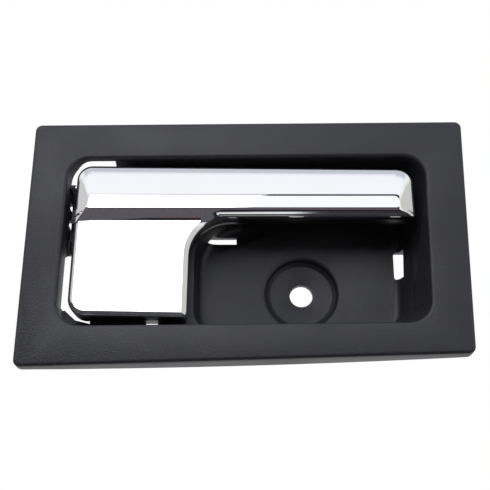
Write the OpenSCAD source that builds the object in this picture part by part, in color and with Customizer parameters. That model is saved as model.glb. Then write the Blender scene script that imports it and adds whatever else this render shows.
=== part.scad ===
// Inside door release: a plated pull lever in a moulded cup with a flat face plate.
// Modelled lying on its back: x to the right, y up the door, z towards the cabin,
// with the face plate's front at z = 0. Depths are measured into the door from there.
// place() then stands it up: the origin is the middle of the screw hole at its seat.

/* [Face plate] */
// How much wider the face plate is than the opening
border_w = 29.2; // [20:0.2:50]
// How much higher the face plate's left end is than the opening
border_left = 30.2; // [20:0.2:50]
// How much higher the face plate's right end is than the opening
border_right = 26.8; // [20:0.2:50]
// How much higher the right end sits than the left
plate_rise = 3.2; // [0:0.1:5]
// How far the top edge sits to the right of the bottom edge
plate_lean = 1.4; // [0:0.1:4]
// Thickness of the plate behind its face
plate_t = 2.6; // [2.4:0.1:4]
// Corner radius of the outline
plate_corner_r = 2.6; // [1.8:0.1:6]
// Rounding along the plate's front edge
plate_edge_r = 1.2; // [0.5:0.1:1.6]
// Wall of the rim that runs back from the plate
rim_t = 2.2; // [1.5:0.1:4]
// Depth of the rim at its deepest point
rim_depth = 9.8; // [6:0.1:16]
// Where along the plate the rim is deepest
rim_peak_x = 5; // [-20:1:20]
// Radius of the bowed back edge of the rim
rim_bow_r = 840; // [600:10:2000]

/* [Cup] */
// Width of the opening in the face plate
open_w = 138.8; // [120:0.2:160]
// Height of the opening
open_h = 67.2; // [56:0.2:80]
// Middle of the opening across the plate
open_x = -0.6; // [-5:0.1:5]
// Middle of the opening up the plate
open_y = -0.6; // [-5:0.1:5]
// How much higher the right end of the opening sits than the left
open_rise = 1.2; // [0:0.1:4]
// How far the top of the opening sits to the right of its bottom
open_lean = 1; // [0:0.1:4]
// Corner radius of the opening
open_r = 8.6; // [4:0.1:14]
// Rounding of the opening's front lip
lip_r = 1.2; // [0.6:0.1:1.3]
// Wall of the cup
cup_t = 2.2; // [1.6:0.1:3.5]
// Depth of the cup's floor
floor_depth = 24; // [20:0.5:34]
// Rounding where the cup's walls meet its floor
floor_r = 3; // [1:0.1:6]
// Depth of the ledge behind the lever's block
ledge_depth = 14; // [13:0.5:18]
// How far the right wall leans in from mouth to floor
draft_right = 7.5; // [2:0.1:12]
// How far the top wall leans in from mouth to floor
draft_top = 3; // [1:0.1:6]
// How far the bottom wall leans in from mouth to floor
draft_bottom = 2.2; // [1:0.1:4]
// Gap between the lever's block and the finger pocket's left side at the floor
pocket_gap = 2.7; // [1:0.1:8]
// How far the pocket's left wall leans in from ledge to floor
pocket_draft = 3; // [1:0.1:5]
// Big corner radius of the pocket under the lever's elbow
pocket_r = 18.5; // [10:0.5:22]
// How far right of the block the pocket behind the bar starts
grip_gap = 17.9; // [14:0.1:28]

/* [Screw seat] */
// Screw hole across the plate
screw_x = 21.7; // [10:0.1:40]
// Screw hole up the plate
screw_y = -15.4; // [-25:0.1:0]
// Radius of the screw hole
screw_hole_r = 4.6; // [2.5:0.1:6]
// Radius of the flat seat in the recess
seat_r = 12.3; // [8:0.1:14]
// How much wider the recess is at its mouth
recess_flare = 1.6; // [0.5:0.1:4]
// Rounding of the recess's mouth
recess_r = 1.8; // [0.5:0.1:2.5]
// Depth of the recess below the floor
recess_depth = 3; // [1:0.1:5]
// Thickness of the seat
seat_t = 2.6; // [2:0.1:5]

/* [Slots in the cup] */
// How far right of the block the slot under the lever's elbow ends
slot_gap = 17.8; // [15:0.1:24]
// Length of that slot
slot_len = 12.4; // [8:0.1:20]
// Height of that slot
slot_h = 2.8; // [1.5:0.1:5]
// Middle of that slot up the plate
slot_y = 6.8; // [2:0.1:12]
// How far the slot in the right corner reaches in from the side wall
side_slot_in = 2.6; // [1:0.1:6]
// Top of the slot in the right corner
side_slot_top = 1.8; // [-5:0.1:8]
// Height of the slot in the right corner
side_slot_h = 11.4; // [6:0.1:16]
// Depth at which that slot starts in the side wall
side_slot_depth = 20; // [15:0.5:22]
// How far left of the block's right side the small drain hole lies
drain_in = 16.5; // [8:0.1:24]
// Width of the drain hole
drain_w = 4.6; // [3:0.1:8]
// Height of the drain hole above the bottom wall
drain_h = 3.2; // [2.5:0.1:6]

/* [Lever] */
// Gap between the opening's left side and the lever
gap_left = 3.8; // [3:0.1:8]
// Gap between the bar's right end and the opening
gap_right = 4.4; // [3.5:0.1:10]
// Gap between the opening's top and the bar's left end
gap_top_left = 2.2; // [2:0.1:6]
// Gap between the opening's top and the bar's right end
gap_top_right = 4.9; // [3:0.1:8]
// Gap between the opening's bottom and the block's left corner
gap_low_left = 4.1; // [3:0.1:8]
// Gap between the opening's bottom and the block's right corner
gap_low_right = 3.3; // [2.5:0.1:8]
// Height of the bar
bar_h = 22.1; // [18:0.1:24]
// Width of the block under the bar
block_w = 44.3; // [36:0.1:52]
// How far the lever's upright edges lean over its height
lever_lean = 0.9; // [0:0.1:3]
// Radius of the lever's outer corners
lever_r = 6; // [3:0.1:9]
// Radius of the elbow between bar and block
elbow_r = 15.6; // [8:0.1:20]
// How far the bar's flat strip stands out of the face plate
strip_out = 2.2; // [0:0.1:5]
// Height of the dark bevel under the strip
strip_bevel = 2.1; // [1:0.1:4]
// Height of the step from the strip down to the block's face
step_h = 3.6; // [2.5:0.1:5]
// How far right of the block that step reaches
step_in = 12.4; // [3:0.1:14]
// Height of the flat strip
strip_h = 5.7; // [4:0.1:8]
// Bevel at the left end of the strip
strip_in_left = 5.2; // [2:0.1:8]
// Bevel at the right end of the strip
strip_in_right = 6.4; // [2:0.1:9]
// Depth of the block's flat face behind the face plate
block_face = 0.5; // [0:0.1:1.5]
// Width of the block's bevels
block_bevel = 1.5; // [0.5:0.1:3]
// Depth of the plated skin's back edge
skin_back = 4.6; // [4:0.1:6]
// Thickness of the plated skin
skin_t = 1.6; // [1.2:0.1:2]
// Depth of the lever's back behind the bar
bar_back = 9.5; // [8:0.1:12]
// Depth of the lever's back behind the block
block_back = 11.5; // [10:0.1:13]
// How far the inner lever stands in from the plated skin
skin_step = 0.4; // [0.2:0.05:0.8]
// Wall of the inner lever
carrier_t = 1.7; // [1.2:0.1:2.5]

/* [Pivot] */
// How far the pivot axis lies inside the lever's left edge
pivot_in = 8.2; // [6.5:0.1:10]
// Depth of the pivot axis
pivot_depth = 9.5; // [9:0.1:11]
// Radius of the pivot pin
pin_r = 2; // [1.5:0.1:2.5]
// Running clearance round the pin
pin_gap = 0.05; // [0.02:0.01:0.1]
// How far the middle of the pivot bracket lies above the bar's underside
bracket_up = 5.4; // [4:0.1:8]
// Clear space between the bracket's two ears
ear_gap = 14; // [13.6:0.2:18]
// Thickness of each ear
ear_t = 3; // [2:0.1:4]
// Radius of the ears round the pin
ear_r = 4.3; // [3.6:0.1:4.6]
// Length of the lever's pivot barrel
barrel_len = 6.8; // [5:0.1:7]
// Wire of the return spring
spring_wire = 1.3; // [0.8:0.1:1.5]
// Whole turns of the return spring
spring_turns = 3; // [2:1:4]
// Length of the release arm behind the pivot
arm_len = 21; // [18:0.5:26]
// Thickness of the release arm
arm_t = 4; // [3:0.1:5]
// How far right of the pivot the cup's window for the release arm reaches
window_in = 10.8; // [10:0.1:14]
// How far right of the pivot that window reaches above the bracket
window_top_in = 6.5; // [2:0.1:10]
// How far right of the pivot that window reaches below the bracket
window_low_in = -1.8; // [-5:0.1:4]
// Depth at which that window starts below the bracket
window_depth = 10.5; // [6:0.5:12]

/* [Fittings] */
// Radius of the bore for the cable sheath
sheath_r = 2.6; // [2:0.1:3.5]
// How far outside the cup's left side the cable holder stands
post_out = 4.2; // [3:0.1:8]
// Radius of the rubber bumpers
bumper_r = 3.2; // [2.5:0.1:4]
// Thickness of the foam strips
foam_t = 3; // [2:0.1:4]
// Width of the foam strips
foam_w = 2.5; // [1.5:0.1:3]
// Gap between the foam strips and the rim
foam_gap = 0.6; // [0.2:0.1:2]
// How far the foam strips stop short of the plate's corners
foam_in = 12; // [6:1:30]
// Width of the panel clips
clip_w = 11; // [8:0.5:16]
// How far the clips' tabs reach above the opening
tab_end = 11; // [9:0.5:12]
// Thickness of the clips' tabs
tab_t = 2; // [1.5:0.1:3]
// How far the stiffening ribs reach out from the opening's edge
rib_reach = 6.5; // [4:0.5:8]
// Thickness of the stiffening ribs
rib_w = 1.8; // [1:0.1:2.5]

/* [Hidden] */
$fn = 48;
arc_steps = 8;
eps = 0.02;
fit = 0.15;
seat_depth = floor_depth + recess_depth + seat_t;
plate_w = open_w + border_w;
plate_h_left = open_h + border_left;
plate_h_right = open_h + border_right;
mouth_r = seat_r + recess_flare;
open_left = open_x - open_w / 2;
open_right = open_x + open_w / 2;
lever_left = open_left + gap_left;
lever_right = open_right - gap_right;
bar_top_left = open_y + open_h / 2 - open_rise / 2 - gap_top_left;
bar_top_right = open_y + open_h / 2 + open_rise / 2 - gap_top_right;
bar_low = bar_top_left - bar_h;
block_low_left = open_y - open_h / 2 - open_rise / 2 + gap_low_left;
block_low_right = open_y - open_h / 2 - open_rise / 2 + gap_low_right;
block_right = lever_left + block_w;
strip_low = bar_low + strip_bevel;
strip_top = strip_low + strip_h;
pocket_x = block_right + pocket_gap;
grip_x = block_right + grip_gap;
slot_x1 = block_right + slot_gap;
drain_x = block_right - drain_in;
pivot_x = lever_left + pivot_in;
bracket_y = bar_low + bracket_up;
window_low_y = bracket_y - 18.6;
window_x = pivot_x + window_in;
window_top_x = pivot_x + window_top_in;
window_low_x = pivot_x + window_low_in;
left_y = -plate_rise / 2;
right_y = plate_rise / 2;
mid_depth = lip_r;
span = floor_depth - mid_depth;
ledge_share = (ledge_depth - mid_depth) / span;
bracket_low = bracket_y - ear_gap / 2;
bracket_high = bracket_y + ear_gap / 2;
web_depth = pivot_depth + 8;
web_t = 2.4;
side_x = open_left - 2.6;
barrel_low = bracket_low + 0.3;
spring_r = pivot_depth - skin_back - spring_wire / 2 - 0.05;
spring_pitch = spring_wire + 0.15;
spring_low = barrel_low + barrel_len + 0.5 + spring_wire / 2;
arm_y = barrel_low + (barrel_len - arm_t) / 2;
cable_y = arm_y + arm_t / 2;
cable_depth = pivot_depth + arm_len;
holder_x = side_x - post_out;
hip_base = 1.5;

// Outward direction of the straight edge that touches two round corners
function unit(v) = v / norm(v);
function side(a, b, ra, rb) =
    let (u = unit(b - a), s = (ra - rb) / norm(b - a), c = sqrt(1 - s * s))
    [u[1] * c + u[0] * s, -u[0] * c + u[1] * s];

// Corner centres of an outline, counted anticlockwise from the bottom left
function inset4(p, r, i) = [
    p[0] + [1, 1] * (i + r[0]),
    p[1] + [-1, 1] * (i + r[1]),
    p[2] + [-1, -1] * (i + r[2]),
    p[3] + [1, -1] * (i + r[3])];
function less(r, i) = [for (v = r) max(v - i, 0.4)];

// Points round an outline's rounded corners, moved in by i
function rounded(p, r, i = 0) =
    let (s = less(r, i), c = inset4(p, s, i))
    [for (k = [0 : 3])
        let (
            before = (k + 3) % 4,
            after = (k + 1) % 4,
            a = side(c[before], c[k], s[before], s[k]),
            b = side(c[k], c[after], s[k], s[after]),
            from = atan2(a[1], a[0]),
            turn = (atan2(b[1], b[0]) - from + 360) % 360)
        for (j = [0 : arc_steps])
            let (t = from + turn * j / arc_steps)
            c[k] + s[k] * [cos(t), sin(t)]];

// A four-cornered outline moved in by i
module outline(p, r, i = 0) {
    polygon(rounded(p, r, i));
}

// Extrudes an outline from depth d0 to depth d1
module slab(d0, d1) {
    translate([0, 0, -d1]) linear_extrude(d1 - d0) children();
}

// Skins a body over a stack of point rings, each with its depth
module skin(rings) {
    n = len(rings[0][0]);
    last = len(rings) - 1;
    points = [for (s = rings) for (q = s[0]) [q[0], q[1], -s[1]]];
    sides = [for (i = [0 : last - 1]) for (j = [0 : n - 1])
        let (a = i * n, b = a + n, k = (j + 1) % n)
        each [[a + j, a + k, b + k], [a + j, b + k, b + j]]];
    ends = [[for (j = [n - 1 : -1 : 0]) j], [for (j = [0 : n - 1]) last * n + j]];
    polyhedron(points, concat(sides, ends));
}

// A body between two outlines at two depths
module loft(p0, r0, d0, p1, r1, d1, i = 0) {
    skin([[rounded(p0, r0, i), d0], [rounded(p1, r1, i), d1]]);
}

// Corners of a rectangle from its lowest to its highest corner
function rect(a, b) = [a, [b[0], a[1]], b, [a[0], b[1]]];

// A rod along y, from y0 to y1, at x and a depth
module rod(x, depth, y0, y1, r) {
    translate([x, y0, -depth]) rotate([-90, 0, 0]) cylinder(r = r, h = y1 - y0);
}

// Quarter-round points: [distance past the edge, depth]
function quarter(r, n = 4) = [for (k = [0 : n]) [r * (1 - sin(90 * k / n)), r * (1 - cos(90 * k / n))]];

module place() {
    rotate([90, 0, 0]) translate([-screw_x, -screw_y, seat_depth]) children();
}

plate_p = [
    [-plate_w / 2 - plate_lean / 2, left_y - plate_h_left / 2],
    [plate_w / 2 - plate_lean / 2, right_y - plate_h_right / 2],
    [plate_w / 2 + plate_lean / 2, right_y + plate_h_right / 2],
    [-plate_w / 2 + plate_lean / 2, left_y + plate_h_left / 2]];
plate_rr = [for (i = [0 : 3]) plate_corner_r];

open_p = [
    [open_left - open_lean / 2, open_y - open_h / 2 - open_rise / 2],
    [open_right - open_lean / 2, open_y - open_h / 2 + open_rise / 2],
    [open_right + open_lean / 2, open_y + open_h / 2 + open_rise / 2],
    [open_left + open_lean / 2, open_y + open_h / 2 - open_rise / 2]];
open_rr = [for (i = [0 : 3]) open_r];

// The opening's outline part of the way down to the floor
function down(s) = [
    open_p[0] + [0, draft_bottom * s],
    open_p[1] + [-draft_right * s, draft_bottom * s],
    open_p[2] + [-draft_right * s, -draft_top * s],
    open_p[3] + [0, -draft_top * s]];

pocket_top = screw_y + 28.4;
function pocket(s) = [
    [pocket_x - pocket_draft * (1 - s), down(s)[0][1]],
    down(s)[1],
    [down(s)[2][0], pocket_top],
    [pocket_x - pocket_draft * (1 - s), pocket_top + pocket_draft * (1 - s)]];
function grip(s) = [
    [grip_x - pocket_draft * (1 - s), screw_y],
    [down(s)[1][0], screw_y],
    down(s)[2],
    [grip_x - pocket_draft * (1 - s), down(s)[3][1]]];
pocket_rr = [open_r, open_r, open_r, pocket_r];
grip_rr = [4, 4, open_r, open_r];

// Depth of the rim's back edge at x
function rim_back(x) =
    rim_depth - rim_bow_r + sqrt(pow(rim_bow_r, 2) - pow(x - rim_peak_x, 2));

module plate() {
    half = plate_w / 2 + plate_lean;
    difference() {
        skin(concat(
            [for (q = quarter(plate_edge_r)) [rounded(plate_p, plate_rr, q[0]), q[1]]],
            [[rounded(plate_p, plate_rr), rim_depth + 1]]));
        slab(plate_t, rim_depth + 2) outline(plate_p, plate_rr, rim_t);
        // bowed back edge of the rim
        rotate([90, 0, 0])
            translate([0, 0, -plate_w])
                linear_extrude(2 * plate_w)
                    polygon(concat(
                        [for (i = [-1 : 0.1 : 1]) [i * half, -rim_back(i * half)]],
                        [[half, -rim_depth - 5], [-half, -rim_depth - 5]]));
    }
}

module cup_outside() {
    loft(down(0), open_rr, plate_t / 2, down(ledge_share), open_rr,
        ledge_depth + cup_t, -cup_t);
    loft(pocket(ledge_share), pocket_rr, ledge_depth, pocket(1), pocket_rr,
        floor_depth + cup_t, -cup_t);
    loft(grip(ledge_share), grip_rr, ledge_depth, grip(1), grip_rr,
        floor_depth + cup_t, -cup_t);
}

module cup_inside() {
    skin(concat(
        [[rounded(open_p, open_rr, -lip_r), -1]],
        [for (q = quarter(lip_r)) [rounded(open_p, open_rr, -q[0]), q[1]]],
        [[rounded(down(ledge_share), open_rr), ledge_depth]]));
    bowl(pocket(ledge_share), pocket(1), pocket_rr);
    bowl(grip(ledge_share), grip(1), grip_rr);
}

// The deep part of the cup, with a rounding where its walls meet the floor
module bowl(top, base, r) {
    skin(concat(
        [[rounded(top, r), ledge_depth - eps]],
        [for (q = quarter(floor_r)) [rounded(base, r, q[1]), floor_depth - q[0]]]));
}

// Extrudes a [height, -depth] outline from x0 to x1
module along(x0, x1) {
    translate([x0, 0, 0]) rotate([90, 0, 90]) linear_extrude(x1 - x0) children();
}

// The cup is open beside the pivot, where only the bracket bridges it
module side_window() {
    high = bracket_high + ear_t + 2.5;
    low = down(ledge_share)[0][1];
    // above the bracket, rising to the back of the plate
    along(side_x - 10, window_top_x)
        polygon([[high - 2, -9.5], [high + 0.5, -7.5], [high + 4, -5.4],
            [open_p[3][1] - 0.2, -plate_t], [plate_h_left / 2, -plate_t],
            [plate_h_left / 2, -seat_depth], [high + 2, -seat_depth],
            [high + 1.5, -ledge_depth - 1], [high, -ledge_depth + 2.5]]);
    // behind the bracket
    along(side_x - 10, window_x)
        polygon([[bracket_low - ear_t, -ledge_depth / 2], [bracket_high + ear_t, -ledge_depth / 2],
            [bracket_high + ear_t, -seat_depth], [bracket_low - ear_t, -seat_depth]]);
    // room for the turning lever in the ledge beside the bracket
    slab(ledge_depth - 0.5, ledge_depth + cup_t + 0.5)
        translate([open_left + 0.6, window_low_y - 1])
            square([window_low_x - open_left - 0.6, high - window_low_y + 3]);
    // below the bracket, down to the corner of the ledge
    intersection() {
        along(side_x - 10, window_low_x)
            polygon([[-plate_h_left / 2, -window_depth], [window_low_y, -window_depth],
                [window_low_y + 3.9, -web_depth], [window_low_y + 3.9, -seat_depth],
                [-plate_h_left / 2, -seat_depth]]);
        slab(plate_t, seat_depth)
            polygon([[side_x - 10, low + 8.2], [open_left + 0.5, low + 8.2],
                [open_left + 4.6, low + 4.4], [window_low_x - 0.6, low + 3.2],
                [window_low_x, low + 3], [window_low_x, bracket_low],
                [side_x - 10, bracket_low]]);
    }
}

module ear(y0) {
    rod(pivot_x, pivot_depth, y0, y0 + ear_t, ear_r);
    translate([pivot_x - ear_r, y0, -web_depth - web_t])
        cube([2 * ear_r, ear_t, web_depth + web_t - pivot_depth]);
}

module bracket() {
    low = bracket_low - ear_t;
    high = bracket_high + ear_t;
    ear(low);
    ear(bracket_high);
    difference() {
        union() {
            translate([side_x, low, -web_depth - web_t])
                cube([window_x + cup_t - side_x, high - low, web_t]);
            translate([window_x, low, -web_depth - web_t])
                cube([cup_t, high - low, web_depth + web_t - ledge_depth]);
            translate([side_x, low, -web_depth - web_t])
                cube([2.4, high - low, web_depth + web_t - plate_t / 2]);
            // the web's wings above and below the bracket
            translate([side_x, window_low_y + 3.9, -web_depth - web_t])
                cube([pivot_x - ear_r - side_x, high - window_low_y, web_t]);
            // gussets behind the plate
            for (y = [low, high - 2])
                translate([side_x, y, 0])
                    rotate([-90, 0, 0])
                        linear_extrude(2)
                            polygon([[0.5, plate_t / 2], [-9, plate_t / 2], [0.5, web_depth]]);
        }
        translate([pivot_x - arm_t, arm_y - 1.2, -web_depth - web_t - 1])
            cube([arm_t + 15, arm_t + 2.4, web_t + 6]);
        // two small notches in the corner of the bracket
        for (n = [[bracket_y - 4.4, 3.8], [bracket_y + 3.6, 3]])
            translate([side_x + 1.3, n[0], -web_depth - web_t - 1])
                cube([1.4, n[1], web_t + 4]);
    }
}

// A finger beside the bracket that carries the cable holder
module cable_post() {
    w = 5;
    difference() {
        translate([holder_x - w / 2, cable_y - 6, -cable_depth - 5.5])
            cube([w, 12, cable_depth + 5.5 - web_depth + 1]);
        translate([holder_x - w, cable_y, -cable_depth])
            rotate([0, 90, 0])
                cylinder(r = sheath_r + 1.4, h = 2 * w);
        translate([holder_x - w, cable_y - sheath_r - 1.4, -cable_depth - 20])
            cube([2 * w, 2 * sheath_r + 2.8, 20]);
    }
    translate([holder_x - w / 2, cable_y - 6, -web_depth - web_t])
        cube([side_x + 1 - holder_x + w / 2, 12, web_t]);
}

module slots() {
    // slot under the elbow
    slab(floor_depth - 2.4, seat_depth)
        polygon([
            [slot_x1 - slot_len, slot_y - slot_h / 2], [slot_x1, slot_y - slot_h / 2],
            [slot_x1, slot_y + slot_h / 2], [slot_x1 - slot_len + 1, slot_y + slot_h / 2]]);
    // slot through the right corner
    slab(side_slot_depth, seat_depth)
        outline(rect(
            [open_right - draft_right - side_slot_in, side_slot_top - side_slot_h],
            [open_right + cup_t, side_slot_top]), [1, 1, 1, 1]);
    // drain hole at the bottom of the ledge
    slab(ledge_depth - 1, ledge_depth + cup_t + 1)
        translate([drain_x, down(ledge_share)[0][1] + 0.4])
            square([drain_w, drain_h]);
}

module screw_recess() {
    translate([screw_x, screw_y, 0])
        rotate_extrude()
            polygon(concat(
                [[0, -floor_depth - recess_depth], [seat_r, -floor_depth - recess_depth]],
                [for (k = [4 : -1 : 0])
                    let (q = quarter(recess_r)[k])
                    [mouth_r + q[0], -floor_depth - q[1]]],
                [[mouth_r + recess_r, -floor_depth + 1], [0, -floor_depth + 1]]));
    translate([screw_x, screw_y, -seat_depth - 1])
        cylinder(r = screw_hole_r, h = seat_t + 2);
}

module ribs_behind() {
    // stiffening ribs from the cup to the back of the plate
    for (x = rib_xs) {
        for (s = [[open_p[3][1], 1], [open_p[0][1], -1]])
            translate([x - rib_w / 2, s[0], 0])
                rotate([90, 0, 90])
                    linear_extrude(rib_w)
                        polygon([[0, -plate_t / 2], [s[1] * rib_reach, -plate_t / 2],
                            [s[1] * rib_reach, -plate_t - 3], [0, -ledge_depth]]);
    }
    // ribs between the screw boss and the cup's underside
    for (a = [20 : 70 : 160])
        translate([screw_x, screw_y, -seat_depth + 0.8])
            rotate([0, 0, a])
                translate([seat_r, -rib_w / 2, 0])
                    cube([seat_r * 0.6, rib_w, recess_depth + seat_t - 0.8 - cup_t + eps]);
}

rib_xs = [for (s = [-0.3, 0.03, 0.21]) open_x + s * open_w];
clip_xs = [for (s = [-0.18, 0.31]) open_x + s * open_w];
module clip_tabs() {
    for (x = clip_xs)
        translate([x - clip_w / 2 + 1, open_p[3][1] - 1, -ledge_depth + 1])
            cube([clip_w - 2, tab_end + 1, tab_t]);
}

module bezel_housing() {
    color("#26272b")
    difference() {
        union() {
            difference() {
                union() {
                    difference() {
                        cup_outside();
                        side_window();
                    }
                    plate();
                    translate([screw_x, screw_y, -seat_depth])
                        cylinder(r = seat_r + 3, h = seat_depth - floor_depth);
                    ribs_behind();
                    clip_tabs();
                }
                cup_inside();
            }
            bracket();
            cable_post();
        }
        screw_recess();
        slots();
        rod(pivot_x, pivot_depth, bracket_low - ear_t - 1, bracket_high + ear_t + 1, pin_r + 0.02);
        for (p = bumper_at)
            translate([p[0], p[1], -ledge_depth - cup_t - 1])
                cylinder(r = bumper_r / 2, h = cup_t + 3);
    }
}

// Lever outlines, anticlockwise from the bottom left
function left_at(y) = lever_left + lever_lean * y / 60;
bar_p = [
    [left_at(bar_low), bar_low],
    [lever_right + 0.2, bar_low],
    [lever_right - 0.2, bar_top_right],
    [left_at(bar_top_left), bar_top_left]];
bar_rr = [0.6, 1.6, lever_r, lever_r];
block_p = [
    [left_at(block_low_left), block_low_left],
    [block_right - 0.4, block_low_right],
    [block_right + 0.3, strip_low],
    [left_at(strip_low), strip_low]];
block_rr = [lever_r + 0.5, 1.8, 0.6, 0.6];
strip_p = [
    [left_at(strip_low) + strip_in_left, strip_low],
    [lever_right - strip_in_right, strip_low],
    [lever_right - strip_in_right, strip_top],
    [left_at(strip_top) + strip_in_left, strip_top]];
strip_rr = [0.5, 1.4, 1.4, 0.8];
elbow_c = [block_right + elbow_r, bar_low - elbow_r];

// The filled elbow between bar and block, moved in by i
module elbow(i = 0) {
    difference() {
        translate([block_right - 2, elbow_c[1]])
            square([elbow_r + 2, elbow_r + 1]);
        translate(elbow_c) circle(r = elbow_r + i, $fn = 96);
    }
}

// Joins the bar's and the block's outlines, moved in by i
module neck(i) {
    translate([left_at(strip_low) + i, strip_low - 3])
        square([block_w - 2 * i - 1, 5]);
}

module lever_cover() {
    color("#d9dbde")
    difference() {
        union() {
            // hipped bar
            skin([
                [rounded(strip_p, strip_rr), -strip_out],
                [rounded(bar_p, bar_rr), hip_base],
                [rounded(bar_p, bar_rr), skin_back]]);
            // block with bevelled edges
            skin([
                [rounded(block_p, block_rr, block_bevel), block_face],
                [rounded(block_p, block_rr), block_face + 2],
                [rounded(block_p, block_rr), skin_back]]);
            // step from the strip down to the block's face
            skin([
                [rect(strip_p[0], [block_right + step_in, strip_low + 3]), -strip_out],
                [rect([block_p[3][0] + block_bevel, strip_low - step_h],
                    [block_right + step_in - 3, strip_low + 2]), block_face + 0.5]]);
            difference() {
                slab(block_face, skin_back) elbow();
                translate([elbow_c[0], elbow_c[1], -block_face - 2])
                    cylinder(r1 = elbow_r, r2 = elbow_r + block_bevel, h = 2 + eps, $fn = 96);
            }
        }
        // hollow back
        slab(block_face + 2.2, skin_back + 1) {
            outline(block_p, block_rr, skin_t);
            outline(bar_p, bar_rr, skin_t);
            elbow(skin_t);
            neck(skin_t);
        }
        skin([
            [rounded(strip_p, strip_rr, 0.9), skin_t - strip_out],
            [rounded(bar_p, bar_rr, skin_t + 0.2), hip_base + 0.6],
            [rounded(bar_p, bar_rr, skin_t + 0.2), skin_back - 0.5]]);
    }
}

bumper_at = [for (up = [10.7, 27.7]) [block_right - 12.1, block_low_left + up]];

module lever_carrier() {
    front = block_face + 2.4;
    inner = skin_t + fit;
    low = bracket_low - ear_t - 1;
    high = bracket_high + ear_t + 1;
    color("#1c1d20")
    difference() {
        union() {
            // tongue inside the plated skin
            slab(front, skin_back + 1) {
                outline(block_p, block_rr, inner);
                outline(bar_p, bar_rr, inner);
                elbow(inner);
                neck(inner);
            }
            // body behind the skin, open at the back
            difference() {
                union() {
                    slab(skin_back, bar_back) outline(bar_p, bar_rr, skin_step);
                    slab(skin_back, bar_back) elbow(skin_step);
                    slab(skin_back, block_back) outline(block_p, block_rr, skin_step);
                }
                slab(skin_back + 1.6, block_back + 1) {
                    outline(bar_p, bar_rr, skin_step + carrier_t);
                    outline(block_p, block_rr, skin_step + carrier_t);
                }
                slab(pivot_depth - 1, block_back + 1)
                    translate([lever_left - 5, low]) square([pivot_x - 2 - lever_left + 5, high - low]);
            }
            // ribs of the bar
            for (s = [0.36, 0.58, 0.8])
                translate([lever_left + s * (lever_right - lever_left), bar_low + 1, 0.4 - bar_back])
                    cube([1.4, bar_top_right - bar_low - 2, bar_back - skin_back - 0.4]);
            // rib of the block
            translate([lever_left + block_w / 2, block_low_left + 1, -block_back + 0.4])
                cube([1.4, bar_low - block_low_left, block_back - skin_back - 0.4]);
            // seats for the bumpers
            for (p = bumper_at)
                translate([p[0], p[1], -block_back])
                    cylinder(r = bumper_r + 0.6, h = block_back - skin_back);
        }
        // room for the bracket's ears and the spring
        translate([pivot_x - 6.6, low, -block_back - 1])
            cube([14.5, high - low, block_back + 1 - skin_back]);
    }
    color("#1c1d20")
    difference() {
        union() {
            rod(pivot_x, pivot_depth, barrel_low, barrel_low + barrel_len, ear_r - 0.2);
            translate([pivot_x - ear_r + 0.2, barrel_low, -pivot_depth])
                cube([2 * ear_r - 0.4, barrel_len, pivot_depth - skin_back + 0.5]);
            // release arm with its eye
            hull() {
                rod(pivot_x, pivot_depth, arm_y, arm_y + arm_t, ear_r - 0.6);
                rod(pivot_x, cable_depth, arm_y, arm_y + arm_t, 3.4);
            }
        }
        rod(pivot_x, pivot_depth, barrel_low - 1, barrel_low + barrel_len + 1, pin_r + pin_gap);
        rod(pivot_x, cable_depth, arm_y - 1, arm_y + arm_t + 1, 1.9);
    }
}

module pivot_pin() {
    low = bracket_low - ear_t - 2.6;
    high = bracket_high + ear_t;
    color("#9a9da3") {
        rod(pivot_x, pivot_depth, low + 0.6, high + 0.4, pin_r);
        rod(pivot_x, pivot_depth, high, high + 1.4, pin_r + 1.3);
        translate([pivot_x, low + 0.6, -pivot_depth])
            rotate([90, 0, 0])
                cylinder(r1 = pin_r, r2 = pin_r - 0.6, h = 0.6);
    }
}

module pin_retainer() {
    y = bracket_low - ear_t;
    color("#7d8086")
    difference() {
        union() {
            rod(pivot_x, pivot_depth, y - 0.6, y, pin_r + 2);
            rod(pivot_x, pivot_depth, y - 1.3, y - 0.5, pin_r + 1);
        }
        rod(pivot_x, pivot_depth, y - 2, y + 1, pin_r);
    }
}

// Wire path of the spring: a straight leg to the web, the coil, a leg to the lever
spring_steps = 24;
spring_total = (spring_turns + 0.25) * spring_steps;
leg_back = web_depth - pivot_depth - 0.05;
leg_front = 7.6;
function coil_at(i) =
    let (a = 180 + 360 * i / spring_steps)
    [[spring_r * cos(a), spring_r * sin(a), spring_pitch * i / spring_steps], [cos(a), sin(a)]];
function spring_path() = concat(
    [[[-spring_r, leg_back, 0], [-1, 0]]],
    [for (i = [0 : spring_total]) coil_at(i)],
    [[[leg_front, -spring_r, spring_pitch * (spring_turns + 0.25)], [0, -1]]]);

module return_spring() {
    k = 10;
    path = spring_path();
    n = len(path);
    points = [for (p = path) for (j = [0 : k - 1])
        p[0] + spring_wire / 2 * [p[1][0] * cos(360 * j / k), p[1][1] * cos(360 * j / k),
            sin(360 * j / k)]];
    sides = [for (i = [0 : n - 2]) for (j = [0 : k - 1])
        [i * k + j, i * k + (j + 1) % k, (i + 1) * k + (j + 1) % k, (i + 1) * k + j]];
    ends = [[for (j = [k - 1 : -1 : 0]) j], [for (j = [0 : k - 1]) (n - 1) * k + j]];
    color("#a8abb0")
    translate([pivot_x, spring_low, -pivot_depth])
        rotate([-90, 0, 0])
            polyhedron(points, concat(sides, ends));
}

module lever_bumpers() {
    color("#17181a")
    for (p = bumper_at) {
        translate([p[0], p[1], -ledge_depth])
            cylinder(r = bumper_r, h = ledge_depth - block_back);
        translate([p[0], p[1], -ledge_depth - cup_t - 0.4])
            cylinder(r = bumper_r / 2 - 0.05, h = cup_t + 0.6);
        translate([p[0], p[1], -ledge_depth - cup_t - 1.6])
            cylinder(r1 = bumper_r / 2 - 0.4, r2 = bumper_r / 2 + 0.5, h = 1.4);
    }
}

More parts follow.
